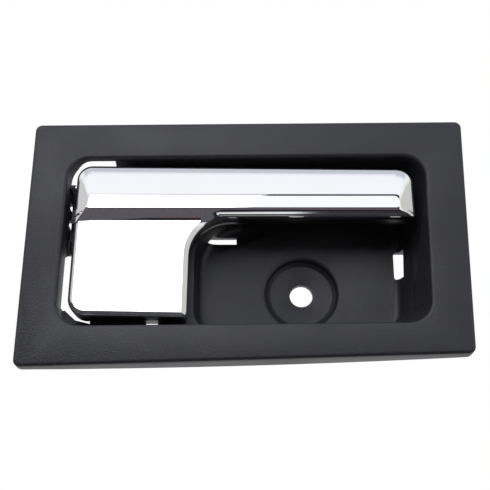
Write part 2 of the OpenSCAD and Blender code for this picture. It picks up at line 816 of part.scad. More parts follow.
module cable_holder() {
    w = 5;
    color("#c9c6bb")
    difference() {
        translate([holder_x, cable_y, -cable_depth]) rotate([0, 90, 0]) {
            translate([0, 0, -w / 2 - 1.5]) cylinder(r = sheath_r + 1.3, h = w + 3);
            translate([0, 0, -w / 2 - 1.6]) cylinder(r = sheath_r + 2.6, h = 1.5);
            translate([0, 0, w / 2 + 0.1]) cylinder(r = sheath_r + 2.6, h = 1.5);
        }
        translate([holder_x - w, cable_y, -cable_depth])
            rotate([0, 90, 0])
                cylinder(r = sheath_r, h = 2 * w);
    }
}

module cable_eye_bush() {
    color("#c9c6bb")
    difference() {
        union() {
            rod(pivot_x, cable_depth, arm_y - 0.9, arm_y + arm_t + 0.9, 1.85);
            rod(pivot_x, cable_depth, arm_y - 1.1, arm_y - 0.05, 2.8);
            rod(pivot_x, cable_depth, arm_y + arm_t + 0.05, arm_y + arm_t + 1.1, 2.8);
        }
        rod(pivot_x, cable_depth, arm_y - 2, arm_y + arm_t + 2, 1);
    }
}

// Folded spring clips pushed onto the two tabs above the cup
module panel_clips() {
    t = 0.7;
    end = tab_end + 0.05;
    front = tab_t + 1.03;
    color("#8d8f94")
    for (x = clip_xs)
        translate([x - clip_w / 2, open_p[3][1], -ledge_depth])
            rotate([90, 0, 90])
                linear_extrude(clip_w)
                    polygon([
                        [end - 6.65, front + t], [end + t, front + t],
                        [end + t, 1 - t], [end - 4.15, -3.2],
                        [end - 7.15, -0.4], [end - 6.65, 0.1],
                        [end - 4.05, -2.2], [end - 0.25, 0.95],
                        [end, 0.95], [end, front],
                        [end - 6.65, front]]);
}

module anti_rattle_foam() {
    color("#3a3a3c")
    for (s = [[plate_p[3], plate_p[2], -1], [plate_p[0], plate_p[1], 1]]) {
        a = s[0];
        b = s[1];
        angle = atan2(b[1] - a[1], b[0] - a[0]);
        translate([a[0], a[1], -plate_t - foam_t])
            rotate([0, 0, angle])
                translate([foam_in, s[2] > 0 ? rim_t + foam_gap : -rim_t - foam_gap - foam_w, 0])
                    cube([plate_w - 2 * foam_in, foam_w, foam_t]);
    }
}

place() bezel_housing();
place() lever_cover();
place() lever_carrier();
place() pivot_pin();
place() pin_retainer();
place() return_spring();
place() lever_bumpers();
place() cable_holder();
place() cable_eye_bush();
place() panel_clips();
place() anti_rattle_foam();
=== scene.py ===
"""Inside door release: a plated pull lever in a grained black cup with a flat face plate."""

import math

import bmesh
import bpy
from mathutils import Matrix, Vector


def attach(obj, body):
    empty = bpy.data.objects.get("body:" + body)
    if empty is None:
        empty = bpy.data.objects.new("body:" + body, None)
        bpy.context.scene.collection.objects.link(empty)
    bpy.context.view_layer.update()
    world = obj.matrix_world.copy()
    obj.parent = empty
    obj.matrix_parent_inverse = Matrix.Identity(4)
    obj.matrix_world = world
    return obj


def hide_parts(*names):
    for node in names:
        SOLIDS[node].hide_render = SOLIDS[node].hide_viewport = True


bl_info = {
    "name": "Inside Door Release",
    "version": (1, 0, 0),
    "blender": (4, 5, 0),
    "location": "3D View > Sidebar > Door Release",
    "description": "Dresses the inside door release and sets its studio",
    "category": "Object",
}

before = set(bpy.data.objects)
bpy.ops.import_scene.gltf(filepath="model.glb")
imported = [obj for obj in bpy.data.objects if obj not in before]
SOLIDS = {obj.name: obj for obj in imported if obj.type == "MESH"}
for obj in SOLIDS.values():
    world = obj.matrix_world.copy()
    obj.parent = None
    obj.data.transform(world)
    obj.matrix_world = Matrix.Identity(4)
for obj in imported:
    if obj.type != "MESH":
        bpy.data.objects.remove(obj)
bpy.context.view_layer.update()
MM = 0.001


# ---------------------------------------------------------------- sizes and colours

class ReleaseSizes(bpy.types.PropertyGroup):
    """Sizes that a user may change, in metres"""

    housing_edge: bpy.props.FloatProperty(
        name="Housing edge", description="Softening of the moulded housing's edges",
        default=0.22 * MM, min=0.0, unit="LENGTH")
    body_edge: bpy.props.FloatProperty(
        name="Inner lever edge", description="Softening of the inner lever's edges",
        default=0.18 * MM, min=0.0, unit="LENGTH")
    grain_size: bpy.props.FloatProperty(
        name="Grain size", description="Width of one pit of the moulded grain",
        default=0.32 * MM, min=0.0, unit="LENGTH")
    floor_drop: bpy.props.FloatProperty(
        name="Floor drop", description="How far the studio floor lies under the screw hole",
        default=0.42, unit="LENGTH")


class ReleaseColours(bpy.types.PropertyGroup):
    """Colours that a user may change"""

    plastic: bpy.props.FloatVectorProperty(
        name="Moulded plastic", description="Colour of the grained housing",
        subtype="COLOR", size=3, default=(0.0120, 0.0122, 0.0160))
    inner_plastic: bpy.props.FloatVectorProperty(
        name="Inner plastic", description="Colour of the lever's inner body",
        subtype="COLOR", size=3, default=(0.012, 0.012, 0.013))
    plating: bpy.props.FloatVectorProperty(
        name="Plating", description="Colour of the bright plating",
        subtype="COLOR", size=3, default=(0.96, 0.965, 0.975))
    steel: bpy.props.FloatVectorProperty(
        name="Steel", description="Colour of the pin and washer",
        subtype="COLOR", size=3, default=(0.52, 0.52, 0.54))
    natural: bpy.props.FloatVectorProperty(
        name="Natural plastic", description="Colour of the cable fittings",
        subtype="COLOR", size=3, default=(0.62, 0.60, 0.53))
    rubber: bpy.props.FloatVectorProperty(
        name="Rubber", description="Colour of the bumpers",
        subtype="COLOR", size=3, default=(0.018, 0.018, 0.019))
    foam: bpy.props.FloatVectorProperty(
        name="Foam", description="Colour of the foam strips",
        subtype="COLOR", size=3, default=(0.060, 0.060, 0.063))


# ---------------------------------------------------------------- material writing
# A noise's or a cell pattern's scale is its number of cells in a metre

class Value:
    """A number that varies over a surface; Python's operators write its Math nodes"""

    def __init__(self, finish, socket):
        self.finish = finish
        self.socket = socket

    def maths(self, operation, *values):
        """A Math node on the values given"""
        node = self.finish.add("ShaderNodeMath", {"operation": operation},
                               dict(enumerate(values)))
        return Value(self.finish, node.outputs[0])

    def __add__(self, other):
        return self.maths("ADD", self, other)

    __radd__ = __add__

    def __sub__(self, other):
        return self.maths("SUBTRACT", self, other)

    def __mul__(self, other):
        return self.maths("MULTIPLY", self, other)

    def between(self, low, high):
        """0 at low, 1 at high, smooth between"""
        node = self.finish.add(
            "ShaderNodeMapRange", {"interpolation_type": "SMOOTHSTEP"},
            {"Value": self, "From Min": low, "From Max": high})
        return Value(self.finish, node.outputs[0])


class Finish:
    """A procedural material, written node by node"""

    def __init__(self, name):
        self.material = bpy.data.materials.new(name)
        self.material.use_nodes = True
        self.material.node_tree.nodes.clear()
        self.tree = self.material.node_tree

    def add(self, kind, settings=None, sockets=None):
        """Adds a node: its settings first, then the values or links of its sockets"""
        node = self.tree.nodes.new(kind)
        for name, value in (settings or {}).items():
            if name == "stops":
                ramp = node.color_ramp.elements
                while len(ramp) < len(value):
                    ramp.new(0.5)
                for stop, (place, colour) in zip(ramp, value):
                    stop.position = place
                    stop.color = (*colour, 1.0)
            else:
                setattr(node, name, value)
        for name, value in (sockets or {}).items():
            self.feed(node.inputs[name], value)
        return node

    def feed(self, socket, value):
        """Links a socket to a varying value, or sets it to a plain one"""
        if isinstance(value, Value):
            value = value.socket
        if isinstance(value, bpy.types.NodeSocket):
            self.tree.links.new(value, socket)
        elif socket.type == "RGBA" and len(value) == 3:
            socket.default_value = (*value, 1.0)
        else:
            socket.default_value = value

    def place(self):
        return self.add("ShaderNodeTexCoord").outputs["Object"]

    def noise(self, scale, detail=2.0, roughness=0.5, vector=None, distortion=0.0):
        node = self.add("ShaderNodeTexNoise", {}, {
            "Vector": vector or self.place(), "Scale": scale, "Detail": detail,
            "Roughness": roughness, "Distortion": distortion})
        return Value(self, node.outputs[0])

    def cells(self, scale):
        node = self.add("ShaderNodeTexVoronoi", {"feature": "F1"}, {
            "Vector": self.place(), "Scale": scale})
        return Value(self, node.outputs[0])

    def mix(self, share, first, second):
        """Blends two colours; the Mix node's colour sockets have the numbers 6, 7 and 2"""
        node = self.add("ShaderNodeMix", {"data_type": "RGBA"}, {
            0: share, 6: first, 7: second})
        return node.outputs[2]

    def bump(self, height, strength, distance):
        return self.add("ShaderNodeBump", {}, {
            "Strength": strength, "Distance": distance, "Height": height}).outputs[0]

    def surface(self, **sockets):
        """The Principled shader and the output; names use _ for a space"""
        named = {name.replace("_", " "): value for name, value in sockets.items()}
        shader = self.add("ShaderNodeBsdfPrincipled", {}, named)
        self.add("ShaderNodeOutputMaterial", {}, {"Surface": shader.outputs[0]})
        return self.material


class Room(Finish):
    """The world, written with the same helpers as a material"""

    def __init__(self, name):
        self.world = bpy.data.worlds.new(name)
        self.world.use_nodes = True
        self.world.node_tree.nodes.clear()
        self.tree = self.world.node_tree


def shade(colour, factor):
    """A colour made darker or lighter"""
    return tuple(channel * factor for channel in colour)


def grained_plastic(sizes, colours):
    """Black moulded plastic with a fine stipple and faint handling haze"""
    f = Finish("grained_plastic")
    pits = 1.0 / sizes.grain_size
    grain = f.cells(pits * 0.55)
    fine = f.noise(pits * 0.9, 3.0, 0.6)
    haze = f.noise(22.0, 3.0, 0.55, distortion=0.4).between(0.42, 0.72)
    drift = f.noise(9.0, 1.0)
    colour = f.mix(fine * 0.9 + drift * 0.3 - haze * 0.25, shade(colours.plastic, 0.62),
                   shade(colours.plastic, 1.30))
    return f.surface(
        Base_Color=colour, Roughness=0.46 + haze * 0.10 + fine * 0.06, IOR=1.48,
        Specular_IOR_Level=0.95, Specular_Tint=(0.93, 0.94, 1.0),
        Normal=f.bump(grain * 0.7 + fine * 0.5, 0.7, 0.00010))


def inner_plastic(sizes, colours):
    """Plain satin black plastic of the parts behind the plating"""
    f = Finish("inner_plastic")
    cloud = f.noise(60.0, 3.0)
    fine = f.noise(1400.0, 2.0)
    colour = f.mix(cloud, shade(colours.inner_plastic, 0.85),
                   shade(colours.inner_plastic, 1.3))
    return f.surface(
        Base_Color=colour, Roughness=0.30 + cloud * 0.12, IOR=1.49,
        Normal=f.bump(fine, 0.18, 0.00004))


def bright_plating(sizes, colours):
    """Bright plating over a moulding: a hard mirror with faint ripples and smears"""
    f = Finish("bright_plating")
    ripple = f.noise(38.0, 1.0, 0.4)
    smear = f.noise(30.0, 4.0, 0.6, distortion=0.8).between(0.50, 0.78)
    colour = f.mix(smear * 0.4, colours.plating, shade(colours.plating, 0.97))
    return f.surface(
        Base_Color=colour, Metallic=1.0, Roughness=0.035 + smear * 0.04,
        Normal=f.bump(ripple, 0.10, 0.0006))


def drawn_steel(sizes, colours):
    """Zinc plated steel with lengthwise drawing marks"""
    f = Finish("drawn_steel")
    stretched = f.add("ShaderNodeMapping", {}, {
        "Vector": f.place(), "Scale": (1.0, 1.0, 0.08)}).outputs[0]
    marks = f.noise(2200.0, 3.0, 0.6, stretched)
    cloud = f.noise(160.0, 3.0, 0.6)
    colour = f.mix(cloud, shade(colours.steel, 0.80), shade(colours.steel, 1.12))
    return f.surface(
        Base_Color=colour, Metallic=1.0, Roughness=0.26 + marks * 0.16 + cloud * 0.08,
        Normal=f.bump(marks, 0.12, 0.00005))


def spring_steel(sizes, colours):
    """Darker patented wire"""
    f = Finish("spring_steel")
    cloud = f.noise(420.0, 3.0, 0.6)
    colour = f.mix(cloud, shade(colours.steel, 0.50), shade(colours.steel, 0.80))
    return f.surface(
        Base_Color=colour, Metallic=1.0, Roughness=0.24 + cloud * 0.16,
        Normal=f.bump(cloud, 0.10, 0.00004))


def clip_steel(sizes, colours):
    """Blackened strip steel of the folded clips"""
    f = Finish("clip_steel")
    grain = f.noise(900.0, 3.0, 0.65)
    cloud = f.noise(210.0, 3.0, 0.6)
    colour = f.mix(cloud, shade(colours.steel, 0.34), shade(colours.steel, 0.62))
    return f.surface(
        Base_Color=colour, Metallic=1.0, Roughness=0.34 + cloud * 0.14,
        Normal=f.bump(grain, 0.12, 0.00004))


def natural_plastic(sizes, colours):
    """Unpainted milky plastic of the cable fittings"""
    f = Finish("natural_plastic")
    cloud = f.noise(150.0, 3.0, 0.5)
    fine = f.noise(1500.0, 2.0)
    colour = f.mix(cloud, shade(colours.natural, 0.90), shade(colours.natural, 1.06))
    return f.surface(
        Base_Color=colour, Roughness=0.38 + cloud * 0.10, IOR=1.52,
        Subsurface_Weight=0.12, Subsurface_Scale=0.001,
        Normal=f.bump(fine, 0.14, 0.00004))


def buffer_rubber(sizes, colours):
    """Soft black rubber with a dull skin"""
    f = Finish("buffer_rubber")
    fine = f.noise(2600.0, 3.0, 0.6)
    bloom = f.noise(300.0, 3.0, 0.6).between(0.45, 0.75)
    colour = f.mix(bloom, colours.rubber, shade(colours.rubber, 1.9))
    return f.surface(
        Base_Color=colour, Roughness=0.62 + bloom * 0.14, IOR=1.5,
        Normal=f.bump(fine, 0.3, 0.00005))


def grey_foam(sizes, colours):
    """Open-celled foam strip"""
    f = Finish("grey_foam")
    pores = f.cells(2100.0)
    fine = f.noise(5200.0, 2.0)
    # The pores are painted darker: painted shade inside the open cells
    pore_shade = pores.between(0.30, 0.05)
    colour = f.mix(pore_shade, colours.foam, shade(colours.foam, 0.35))
    return f.surface(
        Base_Color=colour, Roughness=0.95, Specular_IOR_Level=0.2,
        Normal=f.bump(pores + fine * 0.4, 0.8, 0.0003))


FINISHES = {}


def finish_of(slot_name):
    """The finish of one of the record's material slots, made once"""
    makers = {
        "black_grained_plastic": grained_plastic,
        "bright_plating": bright_plating,
        "black_inner_plastic": inner_plastic,
        "pin_steel": drawn_steel,
        "spring_steel": spring_steel,
        "clip_steel": clip_steel,
        "natural_plastic": natural_plastic,
        "buffer_rubber": buffer_rubber,
        "grey_foam": grey_foam,
    }
    if slot_name not in FINISHES:
        scene = bpy.context.scene
        FINISHES[slot_name] = makers[slot_name](scene.release_sizes, scene.release_colours)
    return FINISHES[slot_name]


# ---------------------------------------------------------------- working on meshes

MERGE_DISTANCE = 0.04 * MM
FLAT_ANGLE = math.radians(0.8)
SHARP_EDGE = math.radians(28.0)


def pick(obj):
    """Makes one object the only selected and the active one"""
    bpy.ops.object.select_all(action="DESELECT")
    obj.hide_set(False)
    obj.select_set(True)
    bpy.context.view_layer.objects.active = obj


def apply_modifier(obj, kind, **settings):
    """Adds a modifier, sets it and applies it"""
    pick(obj)
    modifier = obj.modifiers.new(kind.lower(), kind)
    for name, value in settings.items():
        setattr(modifier, name, value)
    bpy.ops.object.modifier_apply(modifier=modifier.name)


def merged_copy(node, name):
    """A copy of a solid's mesh as its own object, its loose triangles joined into faces"""
    pick(SOLIDS[node])
    bpy.ops.object.duplicate()
    piece = bpy.context.view_layer.objects.active
    piece.name = name
    piece.data.name = name
    piece.parent = None
    for key in [k for k in piece.keys() if k.startswith("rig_")]:
        del piece[key]
    pick(piece)
    bpy.ops.mesh.customdata_custom_splitnormals_clear()
    bpy.ops.object.mode_set(mode="EDIT")
    bpy.ops.mesh.select_all(action="SELECT")
    bpy.ops.mesh.remove_doubles(threshold=MERGE_DISTANCE)
    bpy.ops.mesh.dissolve_limited(angle_limit=FLAT_ANGLE)
    bpy.ops.object.mode_set(mode="OBJECT")
    return piece


def finished(piece, body, slot_name, *nodes, sharp=30.0):
    """Shades a piece, gives it its finish, fixes it to its body, and hides the solids that it
    stands for
    """
    pick(piece)
    bpy.ops.object.shade_smooth_by_angle(angle=math.radians(sharp), keep_sharp_edges=False)
    piece.data.materials.clear()
    piece.data.materials.append(finish_of(slot_name))
    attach(piece, body)
    if nodes:
        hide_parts(*nodes)


def soften(piece, width):
    """Rounds a piece's sharp edges"""
    apply_modifier(
        piece, "BEVEL", width=width, segments=2, limit_method="ANGLE",
        angle_limit=SHARP_EDGE, use_clamp_overlap=True, miter_outer="MITER_ARC",
        harden_normals=False)


# ---------------------------------------------------------------- shaping

# The screw hole's seat, which is the origin: mm right of the plate's middle, below it, and
# behind the plate's face
SEAT_RIGHT, SEAT_BELOW, SEAT_BEHIND = 21.7, 15.4, 29.6
ARC_STEPS = 12


def at(x, y, depth):
    """A place on the release: mm right of the plate's middle, up it, and behind its face"""
    return Vector(((x - SEAT_RIGHT) * MM, (depth - SEAT_BEHIND) * MM, (y + SEAT_BELOW) * MM))


def rounded(corners, radii):
    """Points round an outline's corners, a list of them for each corner"""
    arcs = []
    for k, corner in enumerate(corners):
        corner = Vector(corner)
        before = (corner - Vector(corners[k - 1])).normalized()
        after = (Vector(corners[(k + 1) % len(corners)]) - corner).normalized()
        turn = math.atan2(before.cross(after), before.dot(after))
        side = math.copysign(1.0, turn)
        start = corner - before * radii[k] * math.tan(abs(turn) / 2.0)
        centre = start + Vector((-before.y, before.x)) * radii[k] * side
        arm = start - centre
        arcs.append([])
        for j in range(ARC_STEPS + 1):
            angle = turn * j / ARC_STEPS
            arcs[k].append(centre + Vector((
                arm.x * math.cos(angle) - arm.y * math.sin(angle),
                arm.x * math.sin(angle) + arm.y * math.cos(angle))))
    return arcs


def shrunk(corners, insets):
    """The outline with each edge moved in; edge k runs from corner k to the next"""
    lines = []
    for k, corner in enumerate(corners):
        start = Vector(corner)
        way = (Vector(corners[(k + 1) % len(corners)]) - start).normalized()
        lines.append((start + Vector((-way.y, way.x)) * insets[k], way))
    moved = []
    for k, (second, way) in enumerate(lines):
        first, back = lines[k - 1]
        share = (second - first).cross(way) / back.cross(way)
        moved.append(first + back * share)
    return moved


def ring_of(corners, radii, depths):
    """A closed ring of places; depths[k] is the depth along edge k, blended at the corners"""
    places = []
    for k, arc in enumerate(rounded(corners, radii)):
        for j, point in enumerate(arc):
            share = j / (len(arc) - 1)
            places.append(at(point.x, point.y,
                             depths[k - 1] * (1.0 - share) + depths[k] * share))
    return places


def drawn(name, rings):
    """A closed body: a loop that is extruded from ring to ring and filled at both ends"""
    count = len(rings[0])
    bpy.ops.object.select_all(action="DESELECT")
    bpy.ops.mesh.primitive_circle_add(vertices=count, radius=0.01)
    piece = bpy.context.view_layer.objects.active
    piece.name = name
    piece.data.name = name
    bpy.ops.object.mode_set(mode="EDIT")
    bpy.ops.mesh.select_all(action="SELECT")
    mesh = bmesh.from_edit_mesh(piece.data)
    mesh.verts.ensure_lookup_table()
    for vertex, place in zip(list(mesh.verts), rings[0]):
        vertex.co = place
    for before, after in zip(rings, rings[1:]):
        bpy.ops.mesh.extrude_region_move()
        mesh = bmesh.from_edit_mesh(piece.data)
        for vertex in [v for v in mesh.verts if v.select]:
            nearest = min(range(count), key=lambda i: (before[i] - vertex.co).length_squared)
            vertex.co = after[nearest]
    bpy.ops.mesh.edge_face_add()
    bpy.ops.mesh.select_all(action="DESELECT")
    mesh = bmesh.from_edit_mesh(piece.data)
    mesh.verts.ensure_lookup_table()
    for vertex in list(mesh.verts)[:count]:
        vertex.select_set(True)
    mesh.select_flush(True)
    bpy.ops.mesh.edge_face_add()
    bpy.ops.mesh.select_all(action="SELECT")
    bpy.ops.mesh.normals_make_consistent(inside=False)
    bpy.ops.object.mode_set(mode="OBJECT")
    return piece


def boolean(piece, other, operation):
    """Joins or cuts a piece with another one, which is then deleted"""
    apply_modifier(piece, "BOOLEAN", operation=operation, object=other, solver="EXACT")
    pick(other)
    bpy.ops.object.delete()
    pick(piece)


# The bar's sides from its front strip to its outline: pairs of the share of the way and
# the depth, or of the height and the depth for the lower side
BAR_TOP = ((-0.04, -2.2), (0.0, -2.161), (0.04, -2.052), (0.3, -1.09), (0.62, 0.08),
           (0.74, 0.55), (0.82, 0.93), (0.89, 1.30), (0.94, 1.60), (0.975, 1.90),
           (0.993, 2.25), (1.0, 2.8), (1.0, 4.6))
BAR_END = ((-0.08, -2.2), (0.0, -2.12), (0.09, -1.87), (0.25, -1.28), (0.45, -0.53),
           (0.65, 0.22), (0.80, 0.80), (0.88, 1.13), (0.94, 1.45), (0.975, 1.75),
           (0.995, 2.1), (1.0, 2.8), (1.0, 4.6))
BAR_LOW = ((10.85, -2.2), (10.5, -2.13), (10.15, -1.95), (9.8, -1.68), (9.45, -1.36),
           (9.05, -0.95), (8.6, -0.4), (8.4, 0.1), (8.25, 0.2), (8.12, 0.45),
           (8.0, 0.9), (8.27, 2.8), (8.52, 4.6))
# The strip's ends and top edge, and how far the outline reaches past them on each side
STRIP_LEFT_LOW, STRIP_LEFT_HIGH, STRIP_RIGHT, STRIP_TOP = -61.0, -60.2, 58.4, 15.9
REACH_LEFT_LOW, REACH_LEFT_HIGH = 5.08, 5.55
REACH_RIGHT_LOW, REACH_RIGHT_HIGH = 6.2, 5.8
REACH_TOP_LEFT, REACH_TOP_RIGHT = 14.3, 12.8
# The strip's corner radii, from the lower left one round, and how far the upper two grow
STRIP_RADII = (0.5, 1.4, 2.0, 0.9)
GROWTH_RIGHT, GROWTH_LEFT = 4.0, 5.1


def bar_corners(low, end, top):
    """The corners of one of the bar's rings, from the lower left one round"""
    return ((STRIP_LEFT_LOW - REACH_LEFT_LOW * end, low),
            (STRIP_RIGHT + REACH_RIGHT_LOW * end, low),
            (STRIP_RIGHT + REACH_RIGHT_HIGH * end, STRIP_TOP + REACH_TOP_RIGHT * top),
            (STRIP_LEFT_HIGH - REACH_LEFT_HIGH * end, STRIP_TOP + REACH_TOP_LEFT * top))


def bar_rings():
    """The bar's rings from its front strip to the back of its outline"""
    rings = []
    for (top, top_depth), (end, end_depth), (low, low_depth) in zip(
            BAR_TOP, BAR_END, BAR_LOW):
        grown = max(top, 0.0)
        radii = (*STRIP_RADII[:2], STRIP_RADII[2] + GROWTH_RIGHT * grown,
                 STRIP_RADII[3] + GROWTH_LEFT * grown)
        rings.append(ring_of(bar_corners(low, end, top), radii,
                             (low_depth, end_depth, top_depth, end_depth)))
    return rings


# The block's outline, from the lower left corner round; its top runs on inside the bar
BLOCK = ((-66.66, -30.7), (-22.3, -31.5), (-21.7, 8.1), (-3.0, 8.1), (-3.0, 11.0),
         (-65.9, 11.0))
BLOCK_LEFT_RADIUS, BLOCK_RIGHT_RADIUS, ELBOW_RADIUS, TIGHT_RADIUS = 6.5, 1.8, 15.6, 0.15
# Its bottom bevel is steeper than the others: (inset of the bottom, of the rest, depth)
BLOCK_EDGE = ((1.62, 2.05, 0.5), (1.50, 1.92, 0.53), (1.40, 1.76, 0.62), (0.95, 0.85, 1.22),
              (0.45, 0.20, 1.72), (0.2, 0.08, 1.95), (0.08, 0.02, 2.3), (0.0, 0.0, 2.95),
              (0.0, 0.0, 4.58))


def block_ring(low, inset, depth, hidden=0.2):
    """The block's outline with its elbow; the two edges inside the bar keep their place"""
    corners = shrunk(BLOCK, (low, inset, inset, hidden, hidden, inset))
    radii = (BLOCK_LEFT_RADIUS - inset, max(BLOCK_RIGHT_RADIUS - low, TIGHT_RADIUS),
             ELBOW_RADIUS + inset, TIGHT_RADIUS, TIGHT_RADIUS, TIGHT_RADIUS)
    return ring_of(corners, radii, [depth] * 6)


# Sections of the step between strip and block face: (place, lowest height, its depth)
STEP_ENDS = ((-17.62, 6.1, 0.5), (-17.5, 6.1, 0.5), (-14.5, 6.75, 0.35), (-12.0, 7.6, 0.1),
             (-9.5, 8.5, 0.0), (-8.5, 8.8, 0.3))
# Its front, back, the start of its slope, the slope's two kinks and its hidden lower end
STEP_FRONT, STEP_BACK = -2.19, 2.0
STEP_TOP = ((11.0, STEP_BACK), (11.0, STEP_FRONT), (10.87, STEP_FRONT), (10.45, -2.11))
SLOPE_START, SLOPE_DEPTH = 10.05, -1.9
STEP_KINKS = ((0.43, -1.96), (0.52, -1.84))
STEP_RUNOUT = 0.5
# The left end of the step, and how far it leans left for each mm of depth
STEP_LEFT, STEP_LEAN = -61.3, 1.35


def step_rings():
    """The step's sections, the leftmost slanted along the bar's left bevel"""
    rings = []
    for number, (x, low, low_depth) in enumerate((STEP_ENDS[0], *STEP_ENDS)):
        high, fall = SLOPE_START - low, low_depth - SLOPE_DEPTH
        kinks = [(SLOPE_START - share * high, share * fall + depth)
                 for share, depth in STEP_KINKS]
        section = (*STEP_TOP, (SLOPE_START, SLOPE_DEPTH), *kinks, (low, low_depth),
                   (low - STEP_RUNOUT, low_depth + STEP_RUNOUT * fall / high),
                   (low - STEP_RUNOUT, STEP_BACK))
        rings.append([at(STEP_LEFT - (depth - STEP_FRONT) * STEP_LEAN if number == 0 else x,
                         y, depth) for y, depth in section])
    return rings


# The room behind the skin: the wall beside it, its depths, and the bar's lower edge and
# corner radii in it
SKIN_WALL = 1.6
CORE_BACK, BLOCK_CORE_DEPTH, BAR_CORE_DEPTH, BAR_CORE_LOW = 5.0, 2.72, 2.7, 8.1
BAR_CORE_RADII = (0.3, 0.3, 4.4, 4.4)


def cores():
    """The rings of the two rooms that are cut out behind the plated skin"""
    bar = shrunk(bar_corners(BAR_CORE_LOW, 1.0, 1.0), [SKIN_WALL] * 4)
    return ([block_ring(SKIN_WALL, SKIN_WALL, depth, 0.0)
             for depth in (BLOCK_CORE_DEPTH, CORE_BACK)],
            [ring_of(bar, BAR_CORE_RADII, [depth] * 4) for depth in (BAR_CORE_DEPTH, CORE_BACK)])


# ---------------------------------------------------------------- operators

class RELEASE_OT_housing(bpy.types.Operator):
    """Makes the moulded housing: face plate, cup, screw recess and pivot bracket"""

    bl_idname = "release.housing"
    bl_label = "Housing"

    def execute(self, context):
        piece = merged_copy("bezel_housing", "moulded_housing")
        soften(piece, context.scene.release_sizes.housing_edge)
        finished(piece, "housing", "black_grained_plastic", "bezel_housing")
        return {"FINISHED"}


class RELEASE_OT_plated_skin(bpy.types.Operator):
    """Makes the plated skin of the lever"""

    bl_idname = "release.plated_skin"
    bl_label = "Plated skin"

    def execute(self, context):
        piece = drawn("plated_skin", bar_rings())
        block = drawn("block", [block_ring(*edge) for edge in BLOCK_EDGE])
        boolean(piece, block, "UNION")
        boolean(piece, drawn("step", step_rings()), "UNION")
        for core in cores():
            boolean(piece, drawn("core", core), "DIFFERENCE")
        finished(piece, "lever", "bright_plating", "lever_cover")
        apply_modifier(piece, "WEIGHTED_NORMAL", keep_sharp=True, weight=80)
        return {"FINISHED"}


class RELEASE_OT_lever_body(bpy.types.Operator):
    """Makes the black inner lever with its ribs, barrel and release arm"""

    bl_idname = "release.lever_body"
    bl_label = "Lever body"

    def execute(self, context):
        piece = merged_copy("lever_carrier", "lever_body")
        soften(piece, context.scene.release_sizes.body_edge)
        finished(piece, "lever", "black_inner_plastic", "lever_carrier")
        return {"FINISHED"}


class RELEASE_OT_pivot(bpy.types.Operator):
    """Makes the pivot pin, its retaining washer and the return spring"""

    bl_idname = "release.pivot"
    bl_label = "Pivot"

    def execute(self, context):
        for node, name, slot_name, edge in (
                ("pivot_pin", "headed_pin", "pin_steel", 0.15),
                ("pin_retainer", "push_on_washer", "spring_steel", 0.08)):
            piece = merged_copy(node, name)
            soften(piece, edge * MM)
            finished(piece, "housing", slot_name, node)
        spring = merged_copy("return_spring", "torsion_spring")
        finished(spring, "housing", "spring_steel", "return_spring", sharp=50.0)
        return {"FINISHED"}


class RELEASE_OT_fittings(bpy.types.Operator):
    """Makes the bumpers, cable fittings, panel clips and foam strips"""

    bl_idname = "release.fittings"
    bl_label = "Fittings"

    def execute(self, context):
        for node, name, body, slot_name, edge in (
                ("lever_bumpers", "rubber_bumpers", "housing", "buffer_rubber", 0.3),
                ("cable_holder", "sheath_holder", "housing", "natural_plastic", 0.25),
                ("cable_eye_bush", "eye_bush", "lever", "natural_plastic", 0.15),
                ("panel_clips", "folded_clips", "housing", "clip_steel", 0.1),
                ("anti_rattle_foam", "foam_strips", "housing", "grey_foam", 0.35)):
            piece = merged_copy(node, name)
            soften(piece, edge * MM)
            finished(piece, body, slot_name, node)
        return {"FINISHED"}


FLOOR_COLOUR = (0.80, 0.80, 0.80)
WHITE = (1.0, 1.0, 1.0)
# The share of plain white in the floor where the camera sees it
FLOOR_WHITE = 0.6


def pale_floor():
    """The floor's surface: pale grey, and partly plain white where it is seen"""
    f = Finish("pale_floor")
    path = f.add("ShaderNodeLightPath")
    seen = Value(f, path.outputs["Is Camera Ray"])
    plain = f.add("ShaderNodeBsdfDiffuse", {}, {"Color": FLOOR_COLOUR})
    lit = f.add("ShaderNodeEmission", {}, {"Color": WHITE, "Strength": 1.0})
    both = f.add("ShaderNodeMixShader", {}, {
        0: seen * FLOOR_WHITE, 1: plain.outputs[0], 2: lit.outputs[0]})
    f.add("ShaderNodeOutputMaterial", {}, {"Surface": both.outputs[0]})
    return f.material


# The lamps: name, place, width of the square, watts, and whether the gloss sees it
LAMPS = (
    ("key_softbox", (-0.03, -0.35, 0.33), 0.25, 1.1, False),
    ("sheen_softbox", (-0.16, -0.50, 0.25), 0.30, 0.6, True),
    ("fill_softbox", (0.60, -0.80, 0.35), 0.8, 0.8, False))


def softbox(name, place, width, power, in_gloss):
    """A square lamp that faces the origin"""
    bpy.ops.object.select_all(action="DESELECT")
    way = Vector((0.0, 0.0, 0.0)) - Vector(place)
    bpy.ops.object.light_add(type="AREA", location=place,
                             rotation=way.to_track_quat("-Z", "Y").to_euler())
    lamp = bpy.context.view_layer.objects.active
    lamp.name = name
    lamp.data.shape = "RECTANGLE"
    lamp.data.size, lamp.data.size_y = width, width
    lamp.data.energy = power
    lamp.visible_glossy = in_gloss


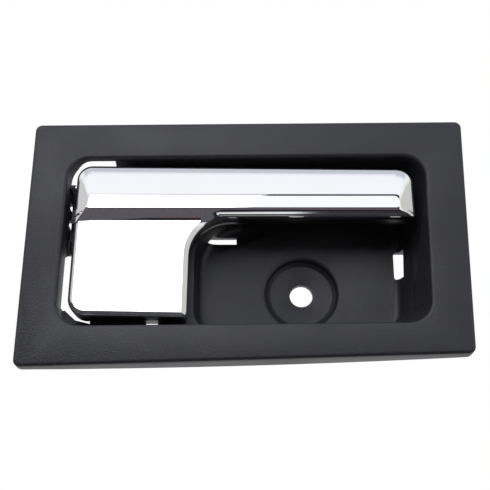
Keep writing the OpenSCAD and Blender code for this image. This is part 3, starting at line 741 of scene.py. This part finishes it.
# What the gloss sees at each angle in degrees: 0 is straight ahead of the plate, 90 overhead
# and -90 straight below; the grey is linear
REFLECTED = (
    (-180, (1.0, 1.0, 1.0)), (-125, (0.80, 0.80, 0.80)), (-110, (0.05, 0.05, 0.05)),
    (-86, (0.05, 0.05, 0.055)), (-84, (0.75, 0.75, 0.75)), (-70, (0.75, 0.75, 0.75)),
    (-68, (0.016, 0.016, 0.018)), (-56, (0.016, 0.016, 0.018)), (-52, (0.098, 0.091, 0.107)),
    (-31, (0.098, 0.091, 0.107)), (-29, (0.075, 0.065, 0.068)), (-20, (0.055, 0.048, 0.050)),
    (-14, (0.012, 0.012, 0.014)), (8, (0.016, 0.016, 0.018)), (13, (1.0, 1.0, 1.0)),
    (27, (1.0, 1.0, 1.0)), (28, (0.02, 0.02, 0.022)), (46, (0.02, 0.02, 0.022)),
    (48, (0.97, 0.98, 1.0)), (58, (0.92, 0.94, 0.97)), (64, (0.56, 0.58, 0.64)),
    (140, (0.50, 0.52, 0.57)), (180, (1.0, 1.0, 1.0)))
# The side walls: how far out they start and are full, and at which heights, where 1 is
# straight up; then their colours near and far
SIDE_START, SIDE_FULL = 0.42, 0.55
RIGHT_HEIGHT, LEFT_HEIGHT = (-0.62, -0.50), (-0.05, 0.10)
SIDE_FAR = (0.36, 0.66)
RIGHT_NEAR, RIGHT_FAR = (0.86, 0.87, 0.86), (0.58, 0.585, 0.56)
LEFT_NEAR, LEFT_FAR = (0.88, 0.87, 0.87), (0.60, 0.60, 0.60)
# Two patches; their angles are shares of the whole turn from straight behind, by below
BLUSH = (0.12, 0.078, 0.082)
BLUSH_ANGLES = (0.405, 0.42), (0.455, 0.445)
BLUSH_SIDES = (-0.22, -0.08), (0.30, 0.16)
BEYOND = (0.03, 0.027, 0.032)
BEYOND_ANGLES = (0.2583, 0.264), (0.3139, 0.308)
BEYOND_SIDE = (0.045, 0.075)
# The light on dull surfaces comes from above
LIT_HEIGHT = (-0.10, 0.50)
LIT_LOW, LIT_HIGH = (0.02, 0.02, 0.022), (0.60, 0.62, 0.66)


def white_room():
    """The world: it is white where it is seen, its light comes from above, and the gloss
    sees bright and dark zones by their angle"""
    f = Room("white_room")
    way = f.add("ShaderNodeSeparateXYZ", {}, {
        0: f.add("ShaderNodeTexCoord").outputs["Generated"]})
    x, y, z = (Value(f, socket) for socket in way.outputs)
    angle = (z.maths("ARCTAN2", z, y * -1.0)) * (0.5 / math.pi) + 0.5
    zones = f.add("ShaderNodeValToRGB", {"stops": [
        (place / 360.0 + 0.5, colour) for place, colour in REFLECTED]}, {"Fac": angle})
    right = x.between(SIDE_START, SIDE_FULL) * z.between(*RIGHT_HEIGHT)
    left = (x * -1.0).between(SIDE_START, SIDE_FULL) * z.between(*LEFT_HEIGHT)
    blush = angle.between(*BLUSH_ANGLES[0]) * angle.between(*BLUSH_ANGLES[1]) * \
        x.between(*BLUSH_SIDES[0]) * x.between(*BLUSH_SIDES[1])
    zones = f.mix(blush, zones.outputs[0], BLUSH)
    beyond = angle.between(*BEYOND_ANGLES[0]) * angle.between(*BEYOND_ANGLES[1]) * \
        x.between(*BEYOND_SIDE)
    zones = f.mix(beyond, zones, BEYOND)
    far = (x * x).between(*SIDE_FAR)
    seen = f.mix(right, zones, f.mix(far, RIGHT_NEAR, RIGHT_FAR))
    seen = f.mix(left, seen, f.mix(far, LEFT_NEAR, LEFT_FAR))
    lit = f.mix(z.between(*LIT_HEIGHT), LIT_LOW, LIT_HIGH)
    path = f.add("ShaderNodeLightPath").outputs
    camera = Value(f, path["Is Camera Ray"])
    plain = camera.maths("MAXIMUM", camera, Value(f, path["Is Transmission Ray"]))
    light = f.mix(plain, f.mix(Value(f, path["Is Glossy Ray"]), lit, seen), WHITE)
    background = f.add("ShaderNodeBackground", {}, {"Color": light})
    f.add("ShaderNodeOutputWorld", {}, {"Surface": background.outputs[0]})
    return f.world


CAMERA_PLACE = (-0.02238, -0.37345, -0.11690)
CAMERA_TILT = math.radians(110.5)
CAMERA_LENS, CAMERA_SENSOR, CAMERA_NEAR = 71.6, 36.0, 0.01
FLOOR_SIZE = 6.0


class RELEASE_OT_studio(bpy.types.Operator):
    """Sets the camera, the floor, the lamps and the white room"""

    bl_idname = "release.studio"
    bl_label = "Studio"

    def execute(self, context):
        scene = context.scene
        scene.view_settings.view_transform = "Standard"
        bpy.ops.object.select_all(action="DESELECT")
        bpy.ops.object.camera_add(location=CAMERA_PLACE, rotation=(CAMERA_TILT, 0.0, 0.0))
        camera = bpy.context.view_layer.objects.active
        camera.name = "studio_camera"
        camera.data.lens = CAMERA_LENS
        camera.data.sensor_width = CAMERA_SENSOR
        camera.data.clip_start = CAMERA_NEAR
        scene.camera = camera

        drop = -scene.release_sizes.floor_drop
        bpy.ops.object.select_all(action="DESELECT")
        bpy.ops.mesh.primitive_plane_add(size=FLOOR_SIZE, location=(0.0, 0.0, drop))
        floor = bpy.context.view_layer.objects.active
        floor.name = "studio_floor"
        bpy.ops.object.transform_apply(location=True)
        floor.data.materials.append(pale_floor())
        floor.visible_glossy = False
        floor.visible_diffuse = False

        for lamp in LAMPS:
            softbox(*lamp)
        scene.world = white_room()
        return {"FINISHED"}


class RELEASE_PT_sidebar(bpy.types.Panel):
    """Lists the operators and the values that they use"""

    bl_idname = "RELEASE_PT_sidebar"
    bl_label = "Door Release"
    bl_space_type = "VIEW_3D"
    bl_region_type = "UI"
    bl_category = "Door Release"

    def draw(self, context):
        layout = self.layout
        for group in (context.scene.release_sizes, context.scene.release_colours):
            column = layout.column(align=True)
            for name in group.__annotations__:
                column.prop(group, name)
        column = layout.column(align=True)
        for step in STEPS:
            column.operator(step.bl_idname)


STEPS = (
    RELEASE_OT_housing,
    RELEASE_OT_plated_skin,
    RELEASE_OT_lever_body,
    RELEASE_OT_pivot,
    RELEASE_OT_fittings,
    RELEASE_OT_studio,
)
CLASSES = (ReleaseSizes, ReleaseColours, *STEPS, RELEASE_PT_sidebar)


def register():
    for cls in CLASSES:
        bpy.utils.register_class(cls)
    bpy.types.Scene.release_sizes = bpy.props.PointerProperty(type=ReleaseSizes)
    bpy.types.Scene.release_colours = bpy.props.PointerProperty(type=ReleaseColours)


def unregister():
    del bpy.types.Scene.release_colours
    del bpy.types.Scene.release_sizes
    for cls in reversed(CLASSES):
        bpy.utils.unregister_class(cls)


def main():
    register()
    bpy.ops.release.housing()
    bpy.ops.release.plated_skin()
    bpy.ops.release.lever_body()
    bpy.ops.release.pivot()
    bpy.ops.release.fittings()
    bpy.ops.release.studio()


if __name__ == "__main__":
    main()
